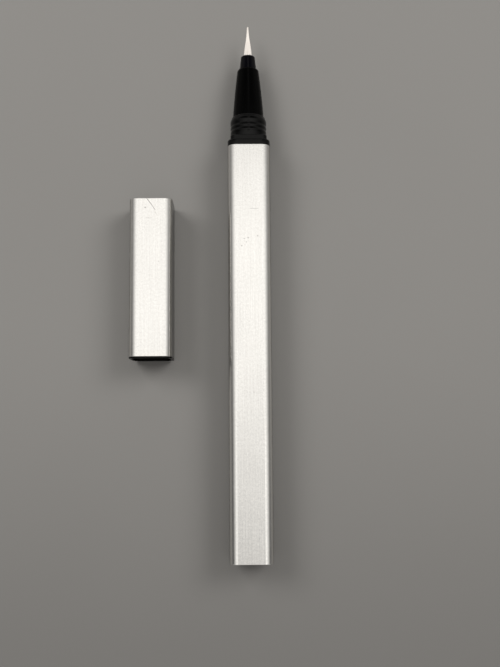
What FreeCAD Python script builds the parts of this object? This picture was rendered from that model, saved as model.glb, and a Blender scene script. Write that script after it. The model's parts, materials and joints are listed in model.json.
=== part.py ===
import FreeCAD, Part
import math
import os
from FreeCAD import Vector

# Liquid eyeliner pen: a square anodised barrel with a black nose and a brush tip, lying on one flat
# side, with its square cap lying beside it, parallel to it, mouth towards the pen's tail.
# Frame, in millimetres: +Y from the tail to the brush, +Z up, the resting plane at Z 0, and the
# origin under the middle of the box around pen and cap.

# Outside of the barrel and the cap.
body_side = 10.0
body_corner = 2.0
shell_wall = 0.35
shell_edge = 0.07
barrel_length = 96.75
axis_spacing = 23.0
cap_setback = 50.35

# Clearances between pieces, each on one side.
fit_gap = 0.03
cap_gap = 0.05
slide_gap = 0.08
cut_overrun = 1.0

# Neck collar: a plug in the barrel, a flange that shows, a square boss and a round neck with beads.
plug_length = 5.0
flange_length = 1.4
flange_round = 0.35
boss_length = 1.2
boss_bevel = 0.1
neck_length = 5.35
bead_height = 0.1
bead_count = 2
bead_width = 0.85
bead_pitch = 1.1
bead_start = 1.05
shoulder_length = 2.15
shoulder_crest = 0.9
shoulder_drop = 0.24
shoulder_turn = 0.45
collar_wall = 0.56
collar_lip = 0.5
collar_lip_height = 0.5

# Nose cone, with a spigot that enters the collar.
cone_length = 12.05
cone_step = 0.625
cone_front_radius = 2.62
cone_bulge = 0.085
cone_round = 0.3
cone_spigot_wall = 0.57
cone_bore_reach = 5.6

# Tip holder: the small tapered sleeve round the brush, and its stem inside the cone.
holder_length = 3.45
holder_base_radius = 2.05
holder_front_radius = 1.7
holder_round = 0.24
stem_length = 5.4
stem_wall = 0.29

# Brush: a bundle of tapered filaments held by a moulded root.
brush_radius = 1.06
brush_reach = 7.75
brush_shoulder_radius = 0.37
brush_shoulder_reach = 5.5
brush_bulge = 0.03
brush_point_radius = 0.12
root_radius = 1.3
root_length = 2.0
root_pocket = 1.0
brush_hidden = 2.65

# Feed rod and ink regulator.
rod_radius = 0.75
rod_reach = 5.5
rod_end_gap = 0.05
regulator_length = 13.0
regulator_end_gap = 0.1
nozzle_length = 5.0
nozzle_wall = 0.5
end_disc = 0.75
fin_thickness = 0.5
fin_groove = 0.5

# Ink tube, its seal ring, its stopper and the mixing ball.
tube_wall = 0.6
tube_side_gap = 0.15
seal_section = 0.5
seal_groove_gap = 0.02
seal_place = 3.0
stopper_flange = 1.0
stopper_plug = 3.0
stopper_hollow = 0.9
ball_radius = 2.0
ball_gap = 0.02

# Tail plug, and the like plug in the closed end of the cap.
end_inset = 0.15
end_bevel = 0.25
tail_plate = 1.6
tail_post = 3.85
tail_post_radius = 3.4
tail_post_wall = 0.8
cap_plate = 1.4

# Cap liner: a thin square rim that covers the end of the shell, and a sleeve inside it.
rim_length = 0.35
rim_bevel = 0.1
skirt_wall = 0.245
socket_depth_gap = 0.1
neck_depth_gap = 0.3
throat_gap = 0.15
throat_length = 9.6
guide_wall = 1.42
chamber_wall = 1.02

# Seal cup that the spring presses on the nose, its spring and the disc behind the spring.
cup_wall = 0.95
cup_lip = 0.4
cup_end_wall = 0.7
cup_flange = 0.8
cup_flange_gap = 0.1
cup_tip_room = 0.6
cup_stop_gap = 0.05
seal_preload = 0.8
seat_disc = 1.0
spring_room = 4.55
spring_wire = 0.36
spring_pitch = 1.0
spring_radius = 2.3
spring_end_gap = 0.05
spring_spigot = 0.6
spring_spigot_gap = 0.15

# Sizes that follow from the ones above.
inner_side = body_side - 2 * (shell_wall + fit_gap)
inner_corner = body_corner - shell_wall - fit_gap
socket_side = inner_side - 2 * skirt_wall
socket_corner = inner_corner - skirt_wall
boss_side = socket_side - 2 * cap_gap
boss_corner = socket_corner - cap_gap
bead_radius = boss_side / 2
neck_radius = bead_radius - bead_height
cone_base_radius = bead_radius - cone_step
boss_front = flange_length + boss_length
cone_base = boss_front + neck_length
cone_front = cone_base + cone_length
holder_front = cone_front + holder_length
brush_point = holder_front + brush_reach
cone_spigot_end = boss_front
regulator_back = cone_spigot_end - regulator_length
spigot_end = regulator_back - regulator_end_gap - collar_lip
tube_radius = body_side / 2 - shell_wall - tube_side_gap
tube_bore_radius = tube_radius - tube_wall
seal_middle = spigot_end + seal_place
seal_groove_radius = tube_bore_radius - seal_section - 2 * seal_groove_gap
collar_bore_radius = seal_groove_radius - collar_wall
cone_bore_radius = collar_bore_radius - fit_gap - cone_spigot_wall
root_pocket_radius = root_radius + fit_gap
stem_radius = root_pocket_radius + stem_wall + fit_gap
nozzle_radius = rod_radius + cap_gap + nozzle_wall
fin_room = regulator_length - 2 * end_disc
fin_count = round((fin_room - fin_groove) / (fin_thickness + fin_groove))
fin_step = (fin_room + fin_thickness) / (fin_count + 1)
tube_end = -barrel_length + end_inset + tail_plate + tail_post + stopper_flange
root_front = holder_front - brush_hidden
root_back = root_front - root_length
rod_front = root_back + root_pocket - rod_end_gap
rod_back = spigot_end - rod_reach
axis_height = body_side / 2
mouth_y = (barrel_length - brush_point) / 2
pen_place = Vector(axis_spacing / 2, mouth_y, axis_height)
cap_place = Vector(-axis_spacing / 2, mouth_y - cap_setback, axis_height)

# Places along the cap, from its mouth.
neck_seat = cone_base - flange_length + neck_depth_gap
socket_depth = boss_length + socket_depth_gap
throat_radius = cone_base_radius + throat_gap
guide_radius = inner_side / 2 - guide_wall
chamber_radius = inner_side / 2 - chamber_wall
cup_radius = guide_radius - slide_gap
cup_bore_radius = cup_radius - cup_wall
cup_rim = cone_front - flange_length - seal_preload
cup_floor = brush_point - flange_length + cup_tip_room - seal_preload
cup_end = cup_floor + cup_end_wall
chamber_start = cup_end - cup_flange - cup_stop_gap
seat_start = cup_end + spring_room
liner_end = seat_start + seat_disc
cap_length = liner_end + cap_plate + end_inset
stub_radius = spring_radius - spring_wire / 2 - spring_spigot_gap
coil_length = spring_room - spring_wire - 2 * spring_end_gap
coil_start = cup_end + spring_end_gap + spring_wire / 2
coil_turns = round(coil_length / spring_pitch)
coil_rise = coil_length / coil_turns


def line(a, b):
    """A straight edge between two (radius, y) points of an outline."""
    return Part.LineSegment(Vector(a[0], a[1], 0), Vector(b[0], b[1], 0)).toShape()


def arc(a, through, b):
    """A round edge between two (radius, y) points of an outline, by way of a third."""
    ends = [Vector(p[0], p[1], 0) for p in (a, through, b)]
    return Part.Arc(*ends).toShape()


def path(points):
    """Straight edges through the points of an outline, in order."""
    return [line(a, b) for a, b in zip(points, points[1:])]


def turned(edges):
    """The solid that a closed outline of edges makes when it turns once about the Y axis."""
    face = Part.Face(Part.Wire(edges))
    return face.revolve(Vector(0, 0, 0), Vector(0, 1, 0), 360)


def turned_points(points):
    """A turned solid whose outline is straight between its points."""
    return turned(path(points + points[:1]))


def rod(radius, start, end):
    """A round bar along Y."""
    return Part.makeCylinder(radius, end - start, Vector(0, start, 0), Vector(0, 1, 0))


def pipe(radius, bore, start, end):
    """A round tube along Y."""
    return rod(radius, start, end).cut(rod(bore, start - cut_overrun, end + cut_overrun))


def square_bar(side, corner, start, end):
    """A bar along Y whose section is a square with rounded corners."""
    half = side / 2
    flat = half - corner
    turn = corner * math.sqrt(0.5)
    edges = []
    for quarter in range(4):
        corner_edge = Part.Arc(
            Vector(half, start, flat),
            Vector(flat + turn, start, flat + turn),
            Vector(flat, start, half),
        ).toShape()
        flat_edge = Part.LineSegment(Vector(flat, start, half), Vector(-flat, start, half)).toShape()
        for edge in (corner_edge, flat_edge):
            edge.rotate(Vector(0, 0, 0), Vector(0, 1, 0), -90 * quarter)
            edges.append(edge)
    face = Part.Face(Part.Wire(Part.__sortEdges__(edges)))
    return face.extrude(Vector(0, end - start, 0))


def edges_at(solid, y, size):
    """The edges of a solid that lie wholly at one place along Y."""
    return [
        e for e in solid.Edges
        if e.BoundBox.YLength < size / 2 and abs(e.BoundBox.Center.y - y) < size / 2
    ]


def bevelled(solid, y, size):
    return solid.makeChamfer(size, edges_at(solid, y, size))


def rounded(solid, y, radius):
    return solid.makeFillet(radius, edges_at(solid, y, radius))


def square_shell(start, end):
    """An extruded shell, open at both ends, with its outer end edges broken."""
    outside = square_bar(body_side, body_corner, start, end)
    for y in (start, end):
        outside = bevelled(outside, y, shell_edge)
    inner = body_side - 2 * shell_wall
    return outside.cut(square_bar(inner, body_corner - shell_wall, start - cut_overrun, end + cut_overrun))


def barrel_shell():
    return square_shell(-barrel_length, 0)


def tail_plug():
    """A square plate set a little into the barrel, with a hollow post that props the ink tube."""
    outer_face = end_inset - barrel_length
    plate_front = outer_face + tail_plate
    plate = bevelled(square_bar(inner_side, inner_corner, outer_face, plate_front), outer_face, end_bevel)
    post = pipe(tail_post_radius, tail_post_radius - tail_post_wall, plate_front, plate_front + tail_post)
    return plate.fuse(post)


def neck_outline():
    """The outside of the round neck: a plain stretch, the beads, and a domed front shoulder."""
    edges = []
    here = (neck_radius, boss_front)
    for number in range(bead_count):
        start = boss_front + bead_start + number * bead_pitch
        foot = (neck_radius, start)
        crest = (bead_radius, start + bead_width / 2)
        end = (neck_radius, start + bead_width)
        edges += [line(here, foot), arc(foot, crest, end)]
        here = end
    foot = (neck_radius, cone_base - shoulder_length)
    crest = (bead_radius, foot[1] + shoulder_crest)
    turn = (bead_radius - shoulder_drop, cone_base - shoulder_turn)
    middle_share = 0.72
    rounding = (
        cone_base_radius + (turn[0] - cone_base_radius) * middle_share,
        cone_base - shoulder_turn * (1 - middle_share),
    )
    edges += [line(here, foot), arc(foot, crest, turn)]
    edges += [arc(turn, rounding, (cone_base_radius, cone_base))]
    return edges


def neck_collar():
    plug = square_bar(inner_side, inner_corner, -plug_length, 0)
    flange = rounded(square_bar(body_side, body_corner, 0, flange_length), flange_length, flange_round)
    boss = bevelled(square_bar(boss_side, boss_corner, flange_length, boss_front), boss_front, boss_bevel)
    neck = turned(
        neck_outline()
        + path([(cone_base_radius, cone_base), (0, cone_base), (0, boss_front), (neck_radius, boss_front)])
    )
    spigot = rod(tube_bore_radius - fit_gap, spigot_end, -plug_length)
    collar = plug.fuse([flange, boss, neck, spigot])
    bore = rod(collar_bore_radius, spigot_end + collar_lip, cone_base + cut_overrun)
    lip_radius = collar_bore_radius - collar_lip_height
    lip_hole = rod(lip_radius, spigot_end - cut_overrun, spigot_end + collar_lip + cut_overrun)
    groove_half = seal_section / 2 + seal_groove_gap
    groove = pipe(
        tube_bore_radius + cut_overrun,
        seal_groove_radius,
        seal_middle - groove_half,
        seal_middle + groove_half,
    )
    return collar.cut([bore, lip_hole, groove]).removeSplitter()


def tube_seal_ring():
    radius = tube_bore_radius - seal_groove_gap - seal_section / 2
    middle = Vector(0, seal_middle, 0)
    return Part.makeTorus(radius, seal_section / 2, middle, Vector(0, 1, 0))


def nose_cone():
    middle = (cone_base_radius + cone_front_radius) / 2 + cone_bulge
    side_end = cone_front - 2 * cone_round
    front_edge_radius = cone_front_radius - cone_round
    bow = math.sqrt(0.5)
    outline = [
        arc((cone_base_radius, cone_base), (middle, (cone_base + side_end) / 2), (cone_front_radius, side_end)),
        arc(
            (cone_front_radius, side_end),
            (front_edge_radius + cone_round * bow, side_end + 2 * cone_round * bow),
            (front_edge_radius, cone_front),
        ),
    ]
    spigot_radius = collar_bore_radius - fit_gap
    bore_end = cone_base + cone_bore_reach
    outline += path(
        [
            (front_edge_radius, cone_front),
            (stem_radius, cone_front),
            (stem_radius, bore_end),
            (cone_bore_radius, bore_end),
            (cone_bore_radius, cone_spigot_end),
            (spigot_radius, cone_spigot_end),
            (spigot_radius, cone_base),
            (cone_base_radius, cone_base),
        ]
    )
    return turned(outline)


def tip_holder():
    bore = brush_radius + fit_gap
    stem = stem_radius - fit_gap
    stem_end = cone_front - stem_length
    round_start = holder_front - holder_round
    rim = holder_front_radius - holder_round
    bow = holder_round * math.sqrt(0.5)
    outline = path([(holder_base_radius, cone_front), (holder_front_radius, round_start)])
    outline.append(
        arc((holder_front_radius, round_start), (rim + bow, round_start + bow), (rim, holder_front))
    )
    outline += path(
        [
            (rim, holder_front),
            (bore, holder_front),
            (bore, root_front),
            (root_pocket_radius, root_front),
            (root_pocket_radius, stem_end),
            (stem, stem_end),
            (stem, cone_front),
            (holder_base_radius, cone_front),
        ]
    )
    return turned(outline)


def brush_tip():
    shoulder = holder_front + brush_shoulder_reach
    middle = ((brush_radius + brush_shoulder_radius) / 2 + brush_bulge, (holder_front + shoulder) / 2)
    point_start = brush_point - brush_point_radius
    bow = brush_point_radius * math.sqrt(0.5)
    outline = [
        arc((brush_radius, holder_front), middle, (brush_shoulder_radius, shoulder)),
        line((brush_shoulder_radius, shoulder), (brush_point_radius, point_start)),
        arc((brush_point_radius, point_start), (bow, point_start + bow), (0, brush_point)),
    ]
    outline += path(
        [(0, brush_point), (0, root_front), (brush_radius, root_front), (brush_radius, holder_front)]
    )
    return turned(outline)


def brush_root():
    pocket = rod(rod_radius + fit_gap, root_back - cut_overrun, root_back + root_pocket)
    return rod(root_radius, root_back, root_front).cut(pocket)


def feed_rod():
    return rod(rod_radius, rod_back, rod_front)


def ink_regulator():
    """A hub with a nozzle at the front, a disc at each end and thin fins between them."""
    front = cone_spigot_end
    first_groove = regulator_back + end_disc
    disc_radius = collar_bore_radius - cap_gap
    solids = [rod(disc_radius, front - end_disc, front), rod(disc_radius, regulator_back, first_groove)]
    for number in range(fin_count):
        end = first_groove + fin_step * (number + 1)
        solids.append(rod(disc_radius, end - fin_thickness, end))
    nozzle_end = front + nozzle_length
    core = rod(nozzle_radius, regulator_back, nozzle_end).fuse(solids)
    bore = rod(rod_radius + cap_gap, regulator_back - cut_overrun, nozzle_end + cut_overrun)
    return core.cut(bore).removeSplitter()


def ink_tube():
    return pipe(tube_radius, tube_bore_radius, tube_end, -plug_length)


def ink_stopper():
    plug_radius = tube_bore_radius - fit_gap
    flange = rod(tube_radius, tube_end - stopper_flange, tube_end)
    plug = rod(plug_radius, tube_end, tube_end + stopper_plug)
    hollow = rod(plug_radius - stopper_hollow, tube_end, tube_end + stopper_plug + cut_overrun)
    return flange.fuse(plug.cut(hollow)).removeSplitter()


def mixing_ball():
    """The ball lies on the bottom of the ink tube's bore, against the stopper."""
    drop = tube_bore_radius - ball_radius - ball_gap
    return Part.makeSphere(ball_radius, Vector(0, tube_end + stopper_plug + ball_radius + ball_gap, -drop))


def cap_shell():
    return square_shell(rim_length, cap_length)


def cap_end_plug():
    """A square plate set a little into the closed end of the cap."""
    outer_face = cap_length - end_inset
    return bevelled(square_bar(inner_side, inner_corner, liner_end, outer_face), outer_face, end_bevel)


def cap_liner():
    """A square sleeve, bored for the neck, the nose and the seal cup, open at both ends."""
    rim = bevelled(square_bar(body_side, body_corner, 0, rim_length), 0, rim_bevel)
    body = rim.fuse(square_bar(inner_side, inner_corner, 0, liner_end))
    socket = square_bar(socket_side, socket_corner, -cut_overrun, socket_depth)
    bore = turned_points(
        [
            (0, 0),
            (bead_radius + cap_gap, 0),
            (bead_radius + cap_gap, neck_seat),
            (throat_radius, neck_seat),
            (guide_radius, neck_seat + throat_length),
            (guide_radius, chamber_start),
            (chamber_radius, chamber_start),
            (chamber_radius, liner_end + cut_overrun),
            (0, liner_end + cut_overrun),
        ]
    )
    return body.cut([socket, bore]).removeSplitter()


def seal_cup():
    """A soft cup, open towards the cap's mouth, with a thin lip and a flange that stops it."""
    flange_radius = chamber_radius - cup_flange_gap
    lip_radius = cup_bore_radius + cup_lip
    return turned_points(
        [
            (cup_bore_radius, cup_rim),
            (lip_radius, cup_rim),
            (cup_radius, cup_rim + cup_radius - lip_radius),
            (cup_radius, cup_end - cup_flange),
            (flange_radius, cup_end - cup_flange),
            (flange_radius, cup_end),
            (stub_radius, cup_end),
            (stub_radius, cup_end + spring_spigot),
            (0, cup_end + spring_spigot),
            (0, cup_floor),
            (cup_bore_radius, cup_floor),
        ]
    )


def spring_seat():
    disc = rod(chamber_radius - fit_gap, seat_start, liner_end)
    stub = rod(stub_radius, seat_start - spring_spigot, seat_start)
    return disc.fuse(stub).removeSplitter()


def coil_point(turn):
    """A point of the spring's centre line, and the direction there, after a number of turns."""
    angle = 2 * math.pi * turn
    place = Vector(
        spring_radius * math.cos(angle), coil_start + coil_rise * turn, spring_radius * math.sin(angle)
    )
    heading = Vector(
        -spring_radius * math.sin(angle), coil_rise / (2 * math.pi), spring_radius * math.cos(angle)
    )
    return place, heading.normalize()


def biarc(start, start_heading, end, end_heading):
    """Two arcs from start to end that meet smoothly and keep the headings at both ends."""
    chord = end - start
    both = start_heading + end_heading
    slack = 2 * (1 - start_heading.dot(end_heading))
    along = chord.dot(both)
    reach = (math.sqrt(along * along + slack * chord.dot(chord)) - along) / slack
    first_corner = start + start_heading * reach
    last_corner = end - end_heading * reach
    joint = (first_corner + last_corner) * 0.5
    arcs = []
    for a, corner, b in ((start, first_corner, joint), (joint, last_corner, end)):
        half_chord = (b - a).Length / 2
        middle = (a + b) * 0.5
        half_turn = math.acos(min(1, half_chord / (corner - a).Length))
        towards = (corner - middle).normalize()
        arcs.append(Part.Arc(a, middle + towards * (half_chord * math.tan(half_turn / 2)), b).toShape())
    return arcs


def seal_spring():
    """A round wire coil between the cup and the seat, made of arcs that meet smoothly."""
    arcs_apart = 4
    stations = [coil_point(n / arcs_apart) for n in range(coil_turns * arcs_apart + 1)]
    edges = []
    for (a, a_heading), (b, b_heading) in zip(stations, stations[1:]):
        edges += biarc(a, a_heading, b, b_heading)
    section = Part.Wire(Part.makeCircle(spring_wire / 2, stations[0][0], stations[0][1]))
    return Part.Wire(edges).makePipeShell([section], True, False)


def coil_least_gap():
    """The least distance between neighbouring turns of the spring's wire, measured on points."""
    steps = 48
    points = [coil_point(n / steps)[0] for n in range(coil_turns * steps + 1)]
    half_turn = steps // 2
    gaps = [(q - p).Length for i, p in enumerate(points) for q in points[i + half_turn :]]
    return min(gaps) - spring_wire


pen_pieces = (
    barrel_shell,
    tail_plug,
    neck_collar,
    tube_seal_ring,
    nose_cone,
    tip_holder,
    brush_tip,
    brush_root,
    feed_rod,
    ink_regulator,
    ink_tube,
    ink_stopper,
    mixing_ball,
)
cap_pieces = (
    cap_shell,
    cap_end_plug,
    cap_liner,
    seal_cup,
    seal_spring,
    spring_seat,
)

os.makedirs("parts", exist_ok=True)
for pieces, place in ((pen_pieces, pen_place), (cap_pieces, cap_place)):
    for make in pieces:
        shape = make()
        shape.translate(place)
        shape.exportStep(f"parts/{make.__name__}.step")
        valid = shape.isValid() and all(s.isClosed() for s in shape.Shells)
        print(f"{make.__name__:16s} solids {len(shape.Solids)} valid {valid} volume {shape.Volume:9.3f}")
print(f"cap length {cap_length:.3f}, least gap between turns of the spring {coil_least_gap():.3f}")
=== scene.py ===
import json
import math
import random

import bmesh
import bpy
from mathutils import Matrix, Vector

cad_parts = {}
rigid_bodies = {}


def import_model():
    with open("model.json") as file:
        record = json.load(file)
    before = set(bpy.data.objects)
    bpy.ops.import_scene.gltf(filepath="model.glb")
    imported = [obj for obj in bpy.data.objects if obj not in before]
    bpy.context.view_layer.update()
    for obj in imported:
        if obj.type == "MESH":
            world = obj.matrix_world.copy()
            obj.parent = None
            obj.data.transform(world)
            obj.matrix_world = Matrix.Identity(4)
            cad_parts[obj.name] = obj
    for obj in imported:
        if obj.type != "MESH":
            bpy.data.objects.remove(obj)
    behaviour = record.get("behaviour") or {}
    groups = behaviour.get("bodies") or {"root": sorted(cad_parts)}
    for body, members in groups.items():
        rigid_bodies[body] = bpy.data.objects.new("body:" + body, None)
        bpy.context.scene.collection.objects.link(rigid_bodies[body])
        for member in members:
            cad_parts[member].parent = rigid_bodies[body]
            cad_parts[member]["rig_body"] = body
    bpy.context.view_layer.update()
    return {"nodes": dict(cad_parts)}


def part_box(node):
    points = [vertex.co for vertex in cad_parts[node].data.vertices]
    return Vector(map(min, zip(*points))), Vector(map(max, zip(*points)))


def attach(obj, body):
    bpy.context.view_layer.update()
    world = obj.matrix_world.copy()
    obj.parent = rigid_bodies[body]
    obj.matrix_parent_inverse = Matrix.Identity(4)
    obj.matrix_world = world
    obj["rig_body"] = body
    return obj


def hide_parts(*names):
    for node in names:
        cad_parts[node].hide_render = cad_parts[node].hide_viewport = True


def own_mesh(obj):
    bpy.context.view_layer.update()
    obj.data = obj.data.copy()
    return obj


# A square liquid eyeliner pen, uncapped, with its cap lying beside it.
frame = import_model()
nodes = frame["nodes"]

mm = 0.001

# The pen and the cap lie on one flat side. Each is modelled along +Y in millimetres from its own mouth,
# on its own axis, and is then put where the frame has it.
barrel_low, barrel_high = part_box("barrel_shell")
rim_low, rim_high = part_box("cap_liner")
shell_low, shell_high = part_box("cap_shell")
pen_place = Vector(((barrel_low.x + barrel_high.x) / 2, barrel_high.y, (barrel_low.z + barrel_high.z) / 2))
cap_place = Vector(((rim_low.x + rim_high.x) / 2, rim_low.y, (rim_low.z + rim_high.z) / 2))

# Outside of the barrel and the cap, and the fits between pieces.
body_side = (barrel_high.x - barrel_low.x) / mm
body_corner = 2.0
shell_wall = 0.35
shell_edge = 0.1
barrel_length = (barrel_high.y - barrel_low.y) / mm
rim_length = (shell_low.y - rim_low.y) / mm
cap_length = (shell_high.y - rim_low.y) / mm
fit_gap = 0.03
cap_gap = 0.05

# Neck collar.
plug_length = 5.0
plug_bevel = 0.1
flange_length = 1.4
flange_round = 0.35
boss_length = 1.2
boss_bevel = 0.1
neck_length = 5.35
bead_height = 0.1
bead_count = 2
bead_width = 0.85
bead_pitch = 1.1
bead_start = 1.05
shoulder_length = 2.15
shoulder_crest = 0.9
shoulder_drop = 0.24
shoulder_turn = 0.45
spigot_end = -11.0
spigot_radius = 3.87
groove_radius = 3.36
groove_place = 3.0
groove_half = 0.27
collar_bore_radius = 2.8
collar_lip = 0.5

# Nose cone, tip holder and brush.
cone_length = 12.05
cone_base_radius = 3.7
cone_front_radius = 2.62
cone_bulge = 0.085
cone_round = 0.3
cone_bore_radius = 2.2
cone_bore_reach = 5.6
stem_radius = 1.65
holder_length = 3.45
holder_base_radius = 2.05
holder_front_radius = 1.7
holder_round = 0.24
stem_length = 5.4
root_pocket_radius = 1.33
brush_hidden = 2.65
brush_radius = 1.06
brush_reach = 7.75
brush_shoulder_radius = 0.33
brush_shoulder_reach = 5.3
brush_bulge = 0.035
brush_point_radius = 0.16

# End plugs, and the cap's liner.
end_inset = 0.15
end_bevel = 0.25
tail_plate = 1.6
tail_post = 3.85
tail_post_radius = 3.4
tail_post_wall = 0.8
cap_plate = 1.4
rim_bevel = 0.1
skirt_wall = 0.245
throat_gap = 0.15
throat_length = 9.6
guide_wall = 1.42
chamber_wall = 1.02
chamber_start = 29.45
socket_depth_gap = 0.1
neck_depth_gap = 0.3
bore_margin = 0.001

# Spring behind the cap's seal cup, and how far the cup presses it.
seat_disc = 1.0
spring_room = 4.55
spring_wire = 0.36
spring_radius = 2.3
spring_turns = 4
spring_end_gap = 0.05

# Sizes that follow.
inner_side = body_side - 2 * (shell_wall + fit_gap)
inner_corner = body_corner - shell_wall - fit_gap
socket_side = inner_side - 2 * skirt_wall
socket_corner = inner_corner - skirt_wall
boss_side = socket_side - 2 * cap_gap
boss_corner = socket_corner - cap_gap
bead_radius = boss_side / 2
neck_radius = bead_radius - bead_height
boss_front = flange_length + boss_length
cone_base = boss_front + neck_length
cone_front = cone_base + cone_length
holder_front = cone_front + holder_length
brush_point = holder_front + brush_reach
neck_seat = cone_base - flange_length + neck_depth_gap
socket_depth = boss_length + socket_depth_gap
neck_bore_radius = bead_radius + cap_gap - bore_margin
liner_end = cap_length - end_inset - cap_plate
seat_start = liner_end - seat_disc
coil_start = seat_start - spring_room + spring_end_gap + spring_wire / 2
coil_length = spring_room - spring_wire - 2 * spring_end_gap

# Fineness of the modelled curves.
corner_steps = 16
ring_steps = 4 * (corner_steps + 1)
turn_steps = 96
round_steps = 6
bead_steps = 10
slope_steps = 12
wire_sides = 16
coil_steps = 48
sharp_angle = math.radians(35)
merge_distance = 1e-4

# How far rings stand apart while they are joined, and the radius of a ring that is drawn to a point.
ring_spread = 20.0
pole_radius = 0.02

# Brush strands: layers from the outside in, over a solid core.
strand_seed = 7
strand_layers = 4
strand_layer_depth = 1.7
strand_radius = 0.047
strand_point_radius = 0.009
strand_sides = 5
strand_rings = 6
strand_ring_crowding = 1.4
strand_thinning = 1.6
strand_spread = 1.02
strand_turn_spread = 0.25
strand_depth_spread = 0.012
strand_twist = 0.1
strand_least_reach = 3
shortening = 2.5
shortening_bias = 1.9
strand_point_gap = 0.02
core_rings = 16
core_layer_depth = 1.6
core_depth = (strand_layers - 0.5) * strand_radius * core_layer_depth
core_point_gap = 0.05
core_point_radius = 0.02

# The camera looks down on the table, a little from the tail's side.
lens_length = 45.0
near_clip = 5.0
camera_place = Vector((8.76, -32.83, 200.04)) * mm
camera_turns = (("X", 0.1086), ("Y", -0.0141), ("Z", -0.0059))

# The floor, with painted shade that makes it darker towards and beyond the tail.
floor_size = 3.0
floor_colour = (0.216, 0.211, 0.203)
painted_shade_factor = 0.74
painted_shade_share = 0.85
painted_shade_fade = (-105, -5)

# Light of the room. Fades are in degrees: from the vertical to the sides, or along the pen's direction.
room_colour = (1.0, 0.98, 0.945)
room_radiance = 0.04
panel_radiance = 1.09
panel_middle = 2.5
panel_sides = (8, 87)
panel_widening = 0.6
panel_front = (16, 32)
panel_back = (-42, -14)
shade_strength = 0.49
shade_middle = 0.5
shade_sides = (5, 11)
shade_back = (-34, -20)
shade_front = (-14, 9)
streak_radiance = 1.2
streak_back = (29, 34)
streak_front = (38, 44)
streak_sides = (3, 10)

# Light low in the room. Fades are in the components of the direction.
glow_radiance = 0.14
glow_height = (0.0, 0.45)
front_radiance = 0.5
front_fade = (0.7, 0.95)
back_radiance = 0.3
back_fade = (-0.85, -0.5)
front_wall_radiance = 0.3
front_wall_fade = (0.3, 0.55)
back_wall_radiance = 0.55
back_wall_fade = (-0.5, -0.2)
wall_sides = (0.3, 0.55)
wall_height = (0.35, 0.7)

# Lamps: name, place and radiance.
lamp_size = 0.25
lamp_colour = (1.0, 0.985, 0.965)
lamps = (("left_lamp", (-0.31, 0.2, 0.41), 7.9), ("right_lamp", (0.33, 0.19, 0.41), 7.6))


def add_camera():
    data = bpy.data.cameras.new("camera")
    data.lens = lens_length
    data.clip_start = near_clip * mm
    camera = bpy.data.objects.new("camera", data)
    turn = Matrix.Identity(4)
    for axis, angle in camera_turns:
        turn = turn @ Matrix.Rotation(angle, 4, axis)
    camera.matrix_world = Matrix.Translation(camera_place) @ turn
    bpy.context.scene.collection.objects.link(camera)
    bpy.context.scene.camera = camera


class Wire:
    """An output in a node tree. Sums and products of wires add Math nodes to the tree."""

    def __init__(self, graph, output):
        self.graph = graph
        self.output = output

    def math(self, operation, *others):
        return self.graph.node("Math", dict(enumerate((self, *others))), operation=operation)

    def __add__(self, other):
        return self.math("ADD", other)

    def __sub__(self, other):
        return self.math("SUBTRACT", other)

    def __mul__(self, other):
        return self.math("MULTIPLY", other)

    def __truediv__(self, other):
        return self.math("DIVIDE", other)

    def __rsub__(self, other):
        return self.graph.node("Math", {0: other, 1: self}, operation="SUBTRACT")

    __radd__ = __add__
    __rmul__ = __mul__

    def between(self, low, high):
        """Rises smoothly from 0 at low to 1 at high."""
        inputs = {"Value": self, "From Min": low, "From Max": high}
        return self.graph.node("MapRange", inputs, interpolation_type="SMOOTHSTEP")


class Graph:
    """A node tree under construction."""

    def __init__(self, tree):
        self.tree = tree

    def node(self, kind, inputs, give=0, **settings):
        """Adds a node: its settings first, then the values or wires of its inputs."""
        node = self.tree.nodes.new("ShaderNode" + kind)
        for name, value in settings.items():
            setattr(node, name, value)
        for key, value in inputs.items():
            self.feed(node.inputs[key], value)
        return Wire(self, node.outputs[give])

    def feed(self, socket, value):
        if isinstance(value, Wire):
            self.tree.links.new(value.output, socket)
        elif socket.type == "RGBA" and len(value) == 3:
            socket.default_value = (*value, 1.0)
        else:
            socket.default_value = value

    def mix(self, factor, a, b):
        """A colour between a and b, which are the node's inputs 6 and 7."""
        return self.node("Mix", {0: factor, 6: a, 7: b}, give=2, data_type="RGBA")

    def split(self, vector):
        return [self.node("SeparateXYZ", {0: vector}, give=axis) for axis in "XYZ"]


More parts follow.
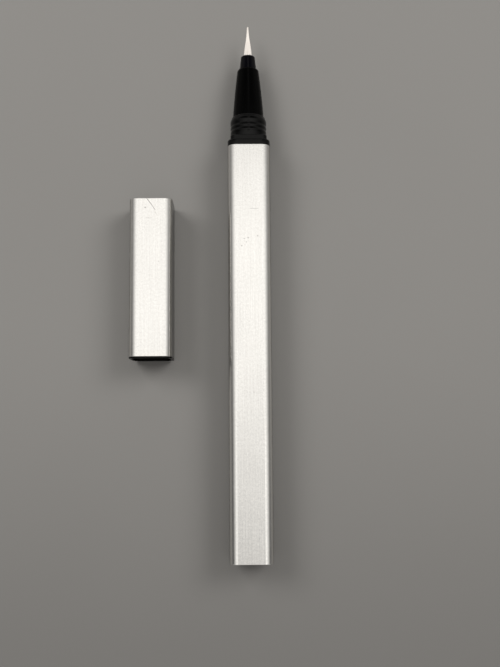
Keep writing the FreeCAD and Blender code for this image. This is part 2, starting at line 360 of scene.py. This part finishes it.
class Finish(Graph):
    """A material under construction. Its place is in millimetres from a piece's own mouth and axis."""

    def __init__(self, name, origin, **constants):
        self.material = bpy.data.materials.new(name)
        self.material.use_nodes = True
        super().__init__(self.material.node_tree)
        self.shader = self.tree.nodes["Principled BSDF"]
        self.set(**constants)
        place = self.node("TexCoord", {}, give="Object")
        scale = (1 / mm,) * 3
        self.place = self.node("Mapping", {"Vector": place, "Scale": scale, "Location": -origin / mm})
        self.x, self.y, self.z = self.split(self.place)

    def set(self, **values):
        """Sets or wires the shader's sockets."""
        for socket, value in values.items():
            self.feed(self.shader.inputs[socket.replace("_", " ")], value)

    def noise(self, scale, detail=3, stretch=(1, 1, 1), turn=(0, 0, 0)):
        """Cloudy noise around 0.5, with about so many clouds to the millimetre."""
        turned = self.node("Mapping", {"Vector": self.place, "Rotation": turn})
        stretched = self.node("VectorMath", {0: turned, 1: stretch}, operation="MULTIPLY")
        return self.node("TexNoise", {"Vector": stretched, "Scale": scale, "Detail": detail})

    def hairlines(self, turn, density=0.5):
        """A few faint lines of wear in one direction, 0 to 1."""
        field = self.noise(1.0, detail=0.5, stretch=(5.0, 0.16, 5.0), turn=turn)
        edge = 0.8 - 0.15 * density
        return field.between(edge, edge + 0.06)

    def scratch(self, start, end, width):
        """A single straight mark between two (x, y) places on the upper flat, 0 to 1."""
        run = Vector(end) - Vector(start)
        ux, uy = run.normalized()
        dx = self.x - start[0]
        dy = self.y - start[1]
        along = dx * ux + dy * uy
        across = (dx * uy - dy * ux).math("ABSOLUTE")
        ends = along.between(-width, width) * (1 - along.between(run.length - width, run.length + width))
        return (1 - across.between(0.3 * width, width)) * ends * self.z.between(*upper_flat)

    def bump(self, height, depth):
        """A normal from a height of 0 to 1 that stands for so many millimetres."""
        return self.node("Bump", {"Height": height, "Strength": 1.0, "Distance": depth * mm})


def varied(base, *parts):
    """A value that each (share, noise) part moves about its base."""
    return base + sum(share * (noise - 0.5) for share, noise in parts)


# Colours of the metal's grain, of a mark in it, and of the brush's filaments.
metal_dark = (0.75, 0.74, 0.72)
metal_light = (1.0, 0.99, 0.965)
metal_marked = (0.3, 0.29, 0.28)
fibre_dark = (0.795, 0.745, 0.7)
fibre_light = (0.895, 0.855, 0.815)

# Blacks of the mouldings.
plug_black = (0.009, 0.009, 0.009)
collar_black = (0.0008, 0.0008, 0.0008)
cone_black = (0.0005, 0.0005, 0.0005)
holder_black = (0.001, 0.001, 0.0017)

# Stretch of a noise into lines along the pen, and the metal's mean roughness and depth of grain.
drawing_lines = (4.6, 0.06, 4.6)
metal_roughness = 0.17
metal_grain_depth = 0.0015


def satin_aluminium(name, origin, marks, specks):
    """Clear anodised metal with a fine blasted grain, faint drawing lines and a little wear."""
    finish = Finish(name, origin, Metallic=1.0, Specular_Tint=(0.45, 0.45, 0.45))
    cloud = finish.noise(0.13)
    mottle = finish.noise(1.6)
    grain = finish.noise(3.2)
    drawn = finish.noise(1.0, detail=4, stretch=drawing_lines)
    wear = finish.hairlines((0.35, 0.1, 0.5)) + finish.hairlines((-0.2, 0.5, -0.9), 0.3)
    marked = sum(strength * finish.scratch(*mark) for *mark, strength in marks)
    spotted = sum(finish.scratch((x, y), (x + size, y), size) for x, y, size in specks)
    tone = varied(0.5, (0.4, cloud), (0.7, mottle), (0.85, drawn), (0.6, grain))
    colour = finish.mix(tone, metal_dark, metal_light)
    colour = finish.mix(0.6 * marked + spotted, colour, metal_marked)
    roughness = varied(metal_roughness, (0.07, cloud), (0.06, mottle), (0.05, drawn)) + 0.05 * wear
    height = 0.5 * grain + 0.5 * drawn - 0.4 * wear - marked
    finish.set(Base_Color=colour, Roughness=roughness, Normal=finish.bump(height, metal_grain_depth))
    return finish.material


def black_plastic(name, origin, base, roughness, grain_depth, ior=1.35):
    """Moulded black plastic with a fine skin and a few handling lines."""
    finish = Finish(name, origin, IOR=ior)
    cloud = finish.noise(0.45)
    grain = finish.noise(11.0, detail=2)
    wear = finish.hairlines((0.3, 0.4, 0.9)) + finish.hairlines((-0.5, 0.2, -0.3), 0.4)
    finish.set(
        Base_Color=finish.mix(cloud, base, tuple(1.6 * c for c in base)),
        Roughness=varied(roughness, (0.1, cloud)) + 0.12 * wear,
        Normal=finish.bump(grain - 0.6 * wear, grain_depth),
    )
    return finish.material


def pale_plastic(name, origin, base, roughness):
    """Unpigmented moulded plastic."""
    finish = Finish(name, origin, Subsurface_Weight=0.1, Subsurface_Scale=0.4 * mm)
    cloud = finish.noise(0.5)
    grain = finish.noise(6.0, detail=2)
    finish.set(
        Base_Color=finish.mix(cloud, base, tuple(0.93 * c for c in base)),
        Roughness=varied(roughness, (0.12, cloud)),
        Normal=finish.bump(grain, 0.003),
    )
    return finish.material


def steel(name, origin, roughness, stretch=(1, 1, 1)):
    """Bright steel with faint drawing lines."""
    finish = Finish(name, origin, Metallic=1.0)
    cloud = finish.noise(1.5)
    lines = finish.noise(6.0, stretch=stretch)
    finish.set(
        Base_Color=finish.mix(cloud, (0.56, 0.56, 0.56), (0.66, 0.66, 0.67)),
        Roughness=varied(roughness, (0.12, cloud), (0.06, lines)),
        Normal=finish.bump(lines, 0.002),
    )
    return finish.material


def bonded_fibre(name, origin, base):
    """A rod of bonded fibres that run along it."""
    finish = Finish(name, origin)
    strand = finish.noise(4.0, stretch=(4.0, 0.2, 4.0))
    finish.set(
        Base_Color=finish.mix(strand, tuple(0.86 * c for c in base), base),
        Roughness=varied(0.6, (0.2, strand)),
        Normal=finish.bump(strand, 0.03),
    )
    return finish.material


def brush_fibre(name, origin):
    """Tapered filaments, each a little lighter or darker than its neighbours."""
    finish = Finish(name, origin)
    shade = finish.node("Attribute", {}, give="Fac", attribute_name="strand_shade")
    strand = finish.noise(3.0, stretch=(3.0, 0.15, 3.0))
    colour = finish.mix(0.6 * shade + 0.4 * strand, fibre_dark, fibre_light)
    finish.set(Base_Color=colour, Roughness=varied(0.42, (0.15, strand)))
    return finish.material


# Marks on the upper flats, in millimetres from the mouth: start, end, width and strength. Specks: x, y and
# size. They show only at the flat's height above the axis.
upper_flat = (4.8, 4.95)
barrel_marks = (
    ((0.1, -15.5), (2.1, -15.55), 0.08, 0.8),
    ((-2.3, -41.5), (-0.9, -44.6), 0.05, 0.3),
    ((1.5, -70.5), (2.6, -67.2), 0.05, 0.3),
)
barrel_specks = (
    (-0.4, -22.5, 0.2), (1.8, -22.05, 0.18), (-1.9, -24.4, 0.2), (-1.3, -22.7, 0.14), (-0.8, -23.5, 0.14),
    (0.7, -58.3, 0.13),
)
cap_marks = (
    ((-0.95, 37.4), (0.3, 35.75), 0.1, 1.6),
    ((0.3, 35.75), (1.1, 34.5), 0.09, 1.4),
    ((1.0, 34.1), (1.5, 33.4), 0.07, 0.6),
    ((-1.2, 32.66), (0.3, 32.64), 0.06, 0.8),
    ((-0.17, 31.2), (-0.08, 16.2), 0.045, 0.3),
)
cap_specks = ((-1.33, 35.15, 0.24), (1.9, 22.4, 0.13))


def make_finishes():
    """A finish for each node, given to the nodes that show and kept for the pieces that replace others."""
    pen, cap = pen_place, cap_place
    made = {
        "barrel_shell": satin_aluminium("barrel_aluminium", pen, barrel_marks, barrel_specks),
        "cap_shell": satin_aluminium("cap_aluminium", cap, cap_marks, cap_specks),
        "tail_plug": black_plastic("tail_plug_plastic", pen, plug_black, 0.4, 0.005, 1.45),
        "cap_end_plug": black_plastic("cap_plug_plastic", cap, plug_black, 0.4, 0.005, 1.45),
        "neck_collar": black_plastic("collar_plastic", pen, collar_black, 0.14, 0.001, 1.27),
        "nose_cone": black_plastic("cone_plastic", pen, cone_black, 0.24, 0.001, 1.13),
        "tip_holder": black_plastic("holder_plastic", pen, holder_black, 0.2, 0.001, 1.22),
        "cap_liner": black_plastic("liner_plastic", cap, collar_black, 0.3, 0.002, 1.2),
        "brush_tip": brush_fibre("brush_fibre", pen),
        "brush_root": pale_plastic("root_plastic", pen, (0.62, 0.58, 0.52), 0.5),
        "feed_rod": bonded_fibre("feed_fibre", pen, (0.72, 0.72, 0.7)),
        "ink_regulator": pale_plastic("regulator_plastic", pen, (0.8, 0.8, 0.78), 0.4),
        "ink_tube": pale_plastic("tube_plastic", pen, (0.72, 0.73, 0.72), 0.35),
        "ink_stopper": pale_plastic("stopper_plastic", pen, (0.78, 0.78, 0.76), 0.4),
        "tube_seal_ring": black_plastic("seal_rubber", pen, (0.01, 0.01, 0.01), 0.6, 0.004),
        "mixing_ball": steel("ball_steel", pen, 0.14),
        "seal_cup": pale_plastic("seal_cup_plastic", cap, (0.7, 0.7, 0.68), 0.45),
        "seal_spring": steel("spring_steel", cap, 0.25, (1, 4, 1)),
        "spring_seat": black_plastic("seat_plastic", cap, (0.006, 0.006, 0.006), 0.4, 0.004),
    }
    for name, node in nodes.items():
        node.data.materials.clear()
        node.data.materials.append(made[name])
    return made


def quarter_round(radius, y, reach, bow):
    """Points of a quarter round between a side at one radius and an end face: (radius, y) pairs.

    The side ends at y, the face lies at y + reach, and the radius falls by bow on the way.
    """
    points = []
    for step in range(round_steps + 1):
        angle = math.pi / 2 * step / round_steps
        points.append((radius - bow * (1 - math.cos(angle)), y + reach * math.sin(angle)))
    return points


def arc_through(a, middle, b, steps):
    """Points of a shallow curve from a by way of middle to b, without its first point."""
    points = []
    for step in range(1, steps + 1):
        t = step / steps
        weights = ((1 - t) * (1 - 2 * t), 4 * t * (1 - t), t * (2 * t - 1))
        points.append(tuple(sum(w * p[i] for w, p in zip(weights, (a, middle, b))) for i in (0, 1)))
    return points


def round_ring(mesh, radius):
    """A flat ring with a vertex at each diagonal."""
    return bmesh.ops.create_circle(mesh, segments=ring_steps, radius=radius)["verts"]


def square_ring(mesh, side, corner):
    """A flat square ring with rounded corners."""
    made = bmesh.ops.create_circle(mesh, segments=4, radius=side / math.sqrt(2), cap_ends=True)
    made = bmesh.ops.bevel(
        mesh,
        geom=made["verts"],
        offset=corner,
        segments=corner_steps,
        profile=0.5,
        affect="VERTICES",
        material=-1,
    )
    verts = made["verts"]
    bmesh.ops.delete(mesh, geom=list(verts[0].link_faces), context="FACES_ONLY")
    return verts


def bridged(stations):
    """A closed body whose skin joins a row of rings, each (radius, y) or (side, corner, y).

    A row whose first and last rings have the pole's radius is drawn to a point there. Any other goes back
    to its first ring. The rings are joined while they stand well apart along Y, and are then put in place.
    """
    has_poles = stations[0][0] == pole_radius
    mesh = bmesh.new()
    upright = Matrix.Rotation(-math.pi / 2, 4, "X") @ Matrix.Rotation(math.pi / 4, 4, "Z")
    rings, loops = [], []
    for number, (*size, _) in enumerate(stations):
        verts = square_ring(mesh, *size) if len(size) == 2 else round_ring(mesh, *size)
        apart = Matrix.Translation((0, number * ring_spread, 0))
        bmesh.ops.transform(mesh, matrix=apart @ upright, verts=verts)
        rings.append(verts)
        loops.append(list({edge for vert in verts for edge in vert.link_edges}))
    for first, second in zip(loops, loops[1:] if has_poles else loops[1:] + loops[:1]):
        bmesh.ops.bridge_loops(mesh, edges=first + second)
    for number, (*_, y) in enumerate(stations):
        bmesh.ops.translate(mesh, verts=rings[number], vec=(0, y - number * ring_spread, 0))
    if has_poles:
        for end in (0, -1):
            bmesh.ops.pointmerge(mesh, verts=rings[end], merge_co=(0, stations[end][-1], 0))
    return mesh


def turned(points):
    """A closed body turned about the Y axis from an outline of (radius, y) points."""
    mesh = bmesh.new()
    verts = [mesh.verts.new((radius, y, 0)) for radius, y in points]
    pairs = zip(verts, verts[1:] + verts[:1])
    edges = [mesh.edges.new(pair) for pair in pairs if pair[0].co.x or pair[1].co.x]
    bmesh.ops.spin(
        mesh,
        geom=verts + edges,
        cent=(0, 0, 0),
        axis=(0, 1, 0),
        angle=2 * math.pi,
        steps=turn_steps,
        use_merge=True,
    )
    return mesh


def square_points(side, corner, points):
    """Rings for a square body from (inset, y) points."""
    return [(side - 2 * inset, corner - inset, y) for inset, y in points]


def add_piece(name, mesh, node, material):
    """Puts a modelled piece in the place of a CAD node."""
    body = nodes[node]["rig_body"]
    place = cap_place if body in ("cap", "seal_cup") else pen_place
    bmesh.ops.remove_doubles(mesh, verts=mesh.verts, dist=merge_distance)
    bmesh.ops.recalc_face_normals(mesh, faces=mesh.faces)
    bmesh.ops.transform(mesh, matrix=Matrix.Translation(place) @ Matrix.Scale(mm, 4), verts=mesh.verts)
    data = bpy.data.meshes.new(name)
    mesh.to_mesh(data)
    mesh.free()
    data.shade_smooth()
    data.set_sharp_from_angle(angle=sharp_angle)
    data.materials.append(material)
    piece = bpy.data.objects.new(name, data)
    bpy.context.scene.collection.objects.link(piece)
    weighted = piece.modifiers.new("flat_faces_stay_flat", "WEIGHTED_NORMAL")
    weighted.keep_sharp = True
    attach(piece, body)
    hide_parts(node)
    return piece


def square_tube(start, end):
    """A thin square tube, open at both ends, whose outer end edges are rounded a little."""
    edge = quarter_round(shell_edge, 0, shell_edge, shell_edge)
    front = [(shell_edge - radius, end - shell_edge + y) for radius, y in edge]
    back = [(inset, start + end - y) for inset, y in reversed(front)]
    rings = square_points(body_side, body_corner, back + front)
    rings += square_points(body_side, body_corner, [(shell_wall, end), (shell_wall, start)])
    return bridged(rings)


def neck_points():
    """The outside of the round neck from the boss to the cone: (radius, y) points."""
    points = [(neck_radius, boss_front)]
    for number in range(bead_count):
        start = boss_front + bead_start + number * bead_pitch
        foot = (neck_radius, start)
        crest = (bead_radius, start + bead_width / 2)
        points += [foot] + arc_through(foot, crest, (neck_radius, start + bead_width), bead_steps)
    foot = (neck_radius, cone_base - shoulder_length)
    crest = (bead_radius, foot[1] + shoulder_crest)
    turn = (bead_radius - shoulder_drop, cone_base - shoulder_turn)
    points += [foot] + arc_through(foot, crest, turn, slope_steps)
    fall = turn[0] - cone_base_radius
    points += quarter_round(turn[0], turn[1], shoulder_turn, fall)[1:]
    return points


def neck_collar():
    """The plug in the barrel, the flange, the square boss, the beaded neck, and the bored spigot behind."""
    plug = [(plug_bevel, -plug_length), (0, plug_bevel - plug_length), (0, 0)]
    edge = quarter_round(body_side / 2, flange_length - flange_round, flange_round, flange_round)
    flange = [(0, 0)] + [(body_side / 2 - radius, y) for radius, y in edge]
    boss = [(0, flange_length), (0, boss_front - boss_bevel), (boss_bevel, boss_front)]
    rings = square_points(inner_side, inner_corner, plug)
    rings += square_points(body_side, body_corner, flange)
    rings += square_points(boss_side, boss_corner, boss)
    rings += neck_points()
    groove = spigot_end + groove_place
    rings += [
        (collar_bore_radius, cone_base),
        (collar_bore_radius, spigot_end + collar_lip),
        (collar_bore_radius - collar_lip, spigot_end + collar_lip),
        (collar_bore_radius - collar_lip, spigot_end),
        (spigot_radius, spigot_end),
        (spigot_radius, groove - groove_half),
        (groove_radius, groove - groove_half),
        (groove_radius, groove + groove_half),
        (spigot_radius, groove + groove_half),
        (spigot_radius, -plug_length),
    ]
    return bridged(rings)


def nose_cone():
    """The tapered nose with its spigot in the collar and its stepped bore."""
    side_end = cone_front - 2 * cone_round
    base = (cone_base_radius, cone_base)
    middle = ((cone_base_radius + cone_front_radius) / 2 + cone_bulge, (cone_base + side_end) / 2)
    points = [base] + arc_through(base, middle, (cone_front_radius, side_end), slope_steps)
    points += quarter_round(cone_front_radius, side_end, 2 * cone_round, cone_round)[1:]
    spigot = collar_bore_radius - fit_gap
    bore_end = cone_base + cone_bore_reach
    points += [
        (stem_radius, cone_front),
        (stem_radius, bore_end),
        (cone_bore_radius, bore_end),
        (cone_bore_radius, boss_front),
        (spigot, boss_front),
        (spigot, cone_base),
    ]
    return turned(points)


def tip_holder():
    """The small sleeve at the brush's foot, with its stem in the cone and the brush root's pocket."""
    stem = stem_radius - fit_gap
    bore = brush_radius + fit_gap
    stem_end = cone_front - stem_length
    root_front = holder_front - brush_hidden
    points = [(holder_base_radius, cone_front), (holder_front_radius, holder_front - holder_round)]
    points += quarter_round(holder_front_radius, holder_front - holder_round, holder_round, holder_round)[1:]
    points += [
        (bore, holder_front),
        (bore, root_front),
        (root_pocket_radius, root_front),
        (root_pocket_radius, stem_end),
        (stem, stem_end),
        (stem, cone_front),
    ]
    return turned(points)


def brush_outline(y):
    """The brush's radius at a place along the pen."""
    foot, shoulder = holder_front, holder_front + brush_shoulder_reach
    if y <= foot:
        return brush_radius
    if y <= shoulder:
        share = (y - foot) / (shoulder - foot)
        taper = brush_radius + (brush_shoulder_radius - brush_radius) * share
        return taper + 4 * brush_bulge * share * (1 - share)
    share = (y - shoulder) / (brush_point - shoulder)
    return brush_shoulder_radius + (brush_point_radius - brush_shoulder_radius) * share


def add_strand(mesh, shade_layer, angle, depth, reach, twist, shade):
    """One tapered filament from inside the holder to its own end, as far in from the outside as depth."""
    start = holder_front - brush_hidden
    loops = []
    for ring in range(strand_rings + 1):
        share = ring / strand_rings
        y = start + (reach - start) * (1 - (1 - share) ** strand_ring_crowding)
        radius = strand_radius + (strand_point_radius - strand_radius) * share ** strand_thinning
        out = max(brush_outline(y) - radius - depth * brush_outline(y) / brush_radius, 0)
        turn = angle + twist * share
        is_end = ring in (0, strand_rings)
        made = bmesh.ops.create_circle(mesh, segments=strand_sides, radius=radius, cap_ends=is_end)
        verts = made["verts"]
        matrix = Matrix.Translation((out * math.cos(turn), y, out * math.sin(turn)))
        bmesh.ops.transform(mesh, matrix=matrix @ Matrix.Rotation(-math.pi / 2, 4, "X"), verts=verts)
        loops.append(list({edge for vert in verts for edge in vert.link_edges}))
        for vert in verts:
            vert[shade_layer] = shade
    for first, second in zip(loops, loops[1:]):
        bmesh.ops.bridge_loops(mesh, edges=first + second)


def brush():
    """Layers of filaments round a solid core, gathered to a point."""
    mesh = bmesh.new()
    shade_layer = mesh.verts.layers.float.new("strand_shade")
    draw = random.Random(strand_seed)
    for layer in range(strand_layers):
        layer_depth = layer * strand_radius * strand_layer_depth
        girth = 2 * math.pi * (brush_radius - layer_depth - strand_radius)
        count = round(girth / (2 * strand_radius * strand_spread))
        for number in range(count):
            place = number + draw.uniform(-strand_turn_spread, strand_turn_spread)
            angle = 2 * math.pi * place / count
            reach = brush_point - draw.uniform(0.0, 1.0) ** shortening_bias * shortening
            reach = max(reach - strand_point_gap, holder_front + strand_least_reach)
            depth = layer_depth + draw.uniform(0, strand_depth_spread)
            twist = draw.uniform(-strand_twist, strand_twist)
            add_strand(mesh, shade_layer, angle, depth, reach, twist, draw.random())
    core_start = holder_front - brush_hidden
    core_length = brush_point - core_point_gap - core_start
    points = [(0, core_start)]
    for step in range(core_rings + 1):
        y = core_start + core_length * step / core_rings
        radius = brush_outline(y) * (1 - core_depth / brush_radius)
        points.append((max(radius, core_point_radius), y))
    points.append((0, brush_point - strand_point_gap))
    core = turned(points)
    data = bpy.data.meshes.new("core")
    core.to_mesh(data)
    core.free()
    mesh.from_mesh(data)
    bpy.data.meshes.remove(data)
    return mesh


def end_plate(outer, inner):
    """The square rings of an end plug's plate, from its inner face to its bevelled outer face."""
    side_end = outer - math.copysign(end_bevel, outer - inner)
    return square_points(inner_side, inner_corner, [(0, inner), (0, side_end), (end_bevel, outer)])


def tail_plug():
    """The plate that closes the barrel, with the hollow post that props the ink tube."""
    outer = end_inset - barrel_length
    inner = outer + tail_plate
    post_end = inner + tail_post
    bore = tail_post_radius - tail_post_wall
    rings = [(pole_radius, outer)] + end_plate(outer, inner)[::-1]
    rings += [(tail_post_radius, inner), (tail_post_radius, post_end), (bore, post_end), (bore, inner)]
    return bridged(rings + [(pole_radius, inner)])


def cap_end_plug():
    """The plate in the cap's closed end."""
    outer = cap_length - end_inset
    return bridged([(pole_radius, liner_end)] + end_plate(outer, liner_end) + [(pole_radius, outer)])


def cap_liner():
    """The rim that covers the shell's end, the sleeve, and the stepped bore."""
    edge = quarter_round(rim_bevel, 0, rim_bevel, rim_bevel)
    rim = [(0, rim_length)] + [(rim_bevel - radius, rim_bevel - y) for radius, y in edge]
    rings = square_points(inner_side, inner_corner, [(0, liner_end), (0, rim_length)])
    rings += square_points(body_side, body_corner, rim)
    rings += [(socket_side, socket_corner, 0), (socket_side, socket_corner, socket_depth)]
    guide_radius = inner_side / 2 - guide_wall
    chamber_radius = inner_side / 2 - chamber_wall
    rings += [
        (neck_bore_radius, socket_depth),
        (neck_bore_radius, neck_seat),
        (cone_base_radius + throat_gap, neck_seat),
        (guide_radius, neck_seat + throat_length),
        (guide_radius, chamber_start),
        (chamber_radius, chamber_start),
        (chamber_radius, liner_end),
    ]
    return bridged(rings)


def wire_coil():
    """A round wire coil that stands between the cup and its seat."""
    mesh = bmesh.new()
    made = bmesh.ops.create_circle(mesh, segments=wire_sides, radius=spring_wire / 2, cap_ends=True)
    bmesh.ops.translate(mesh, verts=made["verts"], vec=(spring_radius, coil_start, 0))
    steps = spring_turns * coil_steps
    bmesh.ops.spin(
        mesh,
        geom=mesh.verts[:] + mesh.edges[:] + mesh.faces[:],
        cent=(0, 0, 0),
        axis=(0, 1, 0),
        dvec=(0, coil_length / steps, 0),
        angle=-2 * math.pi * spring_turns,
        steps=steps,
    )
    return mesh


def add_pieces(finishes):
    """Models the pieces that stand for CAD nodes. The coil gets a mesh of its own."""
    shapes = {
        "barrel_shell": ("square_barrel", square_tube(-barrel_length, 0)),
        "cap_shell": ("square_cap", square_tube(rim_length, cap_length)),
        "neck_collar": ("beaded_neck", neck_collar()),
        "nose_cone": ("tapered_nose", nose_cone()),
        "tip_holder": ("brush_sleeve", tip_holder()),
        "brush_tip": ("brush_filaments", brush()),
        "tail_plug": ("tail_plate", tail_plug()),
        "cap_end_plug": ("cap_end_plate", cap_end_plug()),
        "cap_liner": ("cap_sleeve", cap_liner()),
    }
    for node, (name, mesh) in shapes.items():
        add_piece(name, mesh, node, finishes[node])
    coil = add_piece("wire_coil", wire_coil(), "seal_spring", finishes["seal_spring"])
    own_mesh(coil)


def add_floor():
    """A plain sheet of matt paper under the object, with painted shade that darkens it towards the tail."""
    mesh = bmesh.new()
    bmesh.ops.create_grid(mesh, x_segments=1, y_segments=1, size=floor_size)
    data = bpy.data.meshes.new("floor")
    mesh.to_mesh(data)
    mesh.free()
    floor = bpy.data.objects.new("floor", data)
    bpy.context.scene.collection.objects.link(floor)
    finish = Finish("floor_paper_painted_shade", Vector((0, 0, 0)), Specular_IOR_Level=0.2)
    cloud = finish.noise(0.02)
    # Painted shade: the paper's colour is darkened towards the tail and mixed with a faint mottle.
    painted_tail_shade = 1 - finish.y.between(*painted_shade_fade)
    tone = painted_shade_share * painted_tail_shade + (1 - painted_shade_share) * cloud
    colour = finish.mix(tone, floor_colour, tuple(painted_shade_factor * c for c in floor_colour))
    finish.set(Base_Color=colour, Roughness=0.7)
    data.materials.append(finish.material)


def add_world():
    """A wide soft panel overhead, that fades to the sides, in a dim room with light low at its ends."""
    world = bpy.data.worlds.new("studio")
    world.use_nodes = True
    sky = Graph(world.node_tree)
    x, y, z = sky.split(sky.node("TexCoord", {}, give="Generated"))
    degrees = 180 / math.pi
    turn = degrees * x.math("ARCTAN2", z)
    lean = y.math("ARCSINE")
    along = degrees * lean
    across = (turn - panel_middle).math("ABSOLUTE")
    sides = 1 - (across / (1 + panel_widening * lean)).between(*panel_sides)
    panel = sides * (1 - along.between(*panel_front)) * along.between(*panel_back)
    shade = along.between(*shade_back) * (1 - along.between(*shade_front))
    shade = shade * (1 - (turn - shade_middle).math("ABSOLUTE").between(*shade_sides))
    panel = panel_radiance * panel * (1 - shade_strength * shade)
    streak = along.between(*streak_back) * (1 - along.between(*streak_front))
    streak = streak_radiance * streak * (1 - across.between(*streak_sides))
    glow = glow_radiance * (1 - z.between(*glow_height))
    ends = front_radiance * y.between(*front_fade) + back_radiance * (1 - y.between(*back_fade))
    walls = front_wall_radiance * y.between(*front_wall_fade)
    walls = walls + back_wall_radiance * (1 - y.between(*back_wall_fade))
    walls = walls * x.math("ABSOLUTE").between(*wall_sides) * (1 - z.between(*wall_height))
    radiance = panel + streak + glow + ends.math("MAXIMUM", walls) + room_radiance
    background = world.node_tree.nodes["Background"]
    sky.feed(background.inputs["Color"], room_colour)
    sky.feed(background.inputs["Strength"], radiance)
    bpy.context.scene.world = world


def add_lamp(name, place, radiance):
    """A soft square lamp for the matt surfaces, aimed at the middle of the floor."""
    data = bpy.data.lights.new(name, "AREA")
    data.size = lamp_size
    data.energy = radiance * math.pi * lamp_size ** 2
    data.color = lamp_colour
    lamp = bpy.data.objects.new(name, data)
    lamp.location = place
    lamp.rotation_euler = (-lamp.location).to_track_quat("-Z", "Y").to_euler()
    lamp.visible_camera = False
    lamp.visible_glossy = False
    bpy.context.scene.collection.objects.link(lamp)


add_camera()
add_pieces(make_finishes())
add_floor()
add_world()
for lamp in lamps:
    add_lamp(*lamp)
bpy.context.scene.view_settings.view_transform = "Standard"
